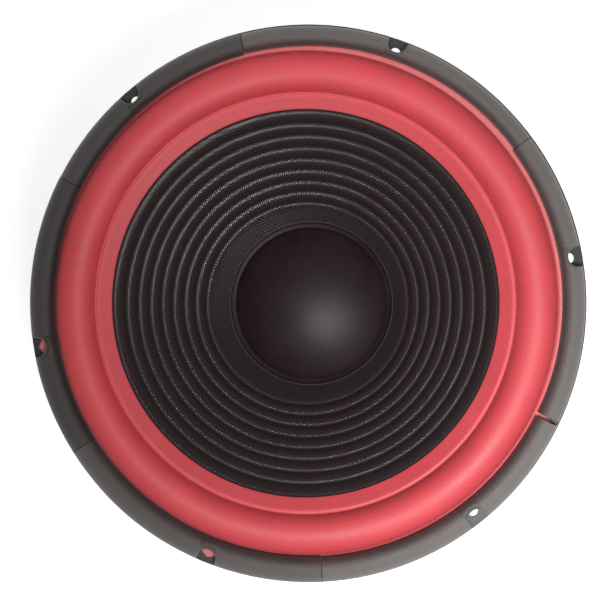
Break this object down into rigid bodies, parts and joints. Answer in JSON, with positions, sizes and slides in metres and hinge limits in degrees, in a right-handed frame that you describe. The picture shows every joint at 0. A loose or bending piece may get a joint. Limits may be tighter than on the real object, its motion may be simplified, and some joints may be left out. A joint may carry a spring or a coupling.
{
  "type": "car subwoofer driver",
  "caption": "Round car subwoofer driver with a red foam surround, corrugated black woven cone, domed dust cap, foam gasket segments, stamped steel basket and ferrite motor.",
  "frame": {"origin": "centre of the bolt circle, on the flange's rear face that seats on the baffle", "axes": "+Z out of the front of the driver, towards the listener; +X through one of the bolt holes; -Y through the spoke that carries the terminals"},
  "size_m": [0.3086, 0.3086, 0.125],
  "materials": {
    "basket_steel": "black paint, satin",
    "gasket_foam": "matte foam",
    "surround_foam": "soft matte foam",
    "spider_cloth": "resin-dipped cotton",
    "plated_steel": "zinc plated",
    "ferrite": "ground ceramic",
    "fibre_board": "hard paper",
    "brass_tab": "tinned brass",
    "tinsel_braid": "copper tinsel woven on cotton",
    "cone_cloth": "woven and lacquered",
    "dust_cap_paper": "matte, fine grain",
    "former_foil": "bare foil",
    "copper_winding": "enamelled copper wire",
    "kraft_paper": "kraft paper",
    "glue": "black rubber glue"
  },
  "bodies": {
    "frame": {"basket": "basket_steel", "gasket_segment_1": "gasket_foam", "gasket_segment_2": "gasket_foam", "gasket_segment_3": "gasket_foam", "gasket_segment_4": "gasket_foam", "gasket_segment_5": "gasket_foam", "gasket_segment_6": "gasket_foam", "surround": "surround_foam", "spider": "spider_cloth", "top_plate": "plated_steel", "magnet": "ferrite", "yoke": "plated_steel", "top_plate_rivets": "plated_steel", "terminal_board": "fibre_board", "terminal_positive": "brass_tab", "terminal_negative": "brass_tab", "terminal_board_rivets": "brass_tab", "terminal_lug_eyelets": "brass_tab", "tinsel_lead_positive": "tinsel_braid", "tinsel_lead_negative": "tinsel_braid"},
    "cone_assembly": {"cone": "cone_cloth", "dust_cap": "dust_cap_paper", "cone_eyelets": "brass_tab", "voice_coil_former": "former_foil", "voice_coil_winding": "copper_winding", "former_collar": "kraft_paper", "neck_adhesive": "glue"}
  },
  "joints": [
    {"name": "cone_excursion", "type": "slide", "parent": "frame", "child": "cone_assembly", "axis": [0, 0, 1], "range_m": [-0.008, 0.008], "stiffness_N_per_m": 3500, "deforming": ["surround", "spider", "tinsel_lead_positive", "tinsel_lead_negative"]}
  ]
}
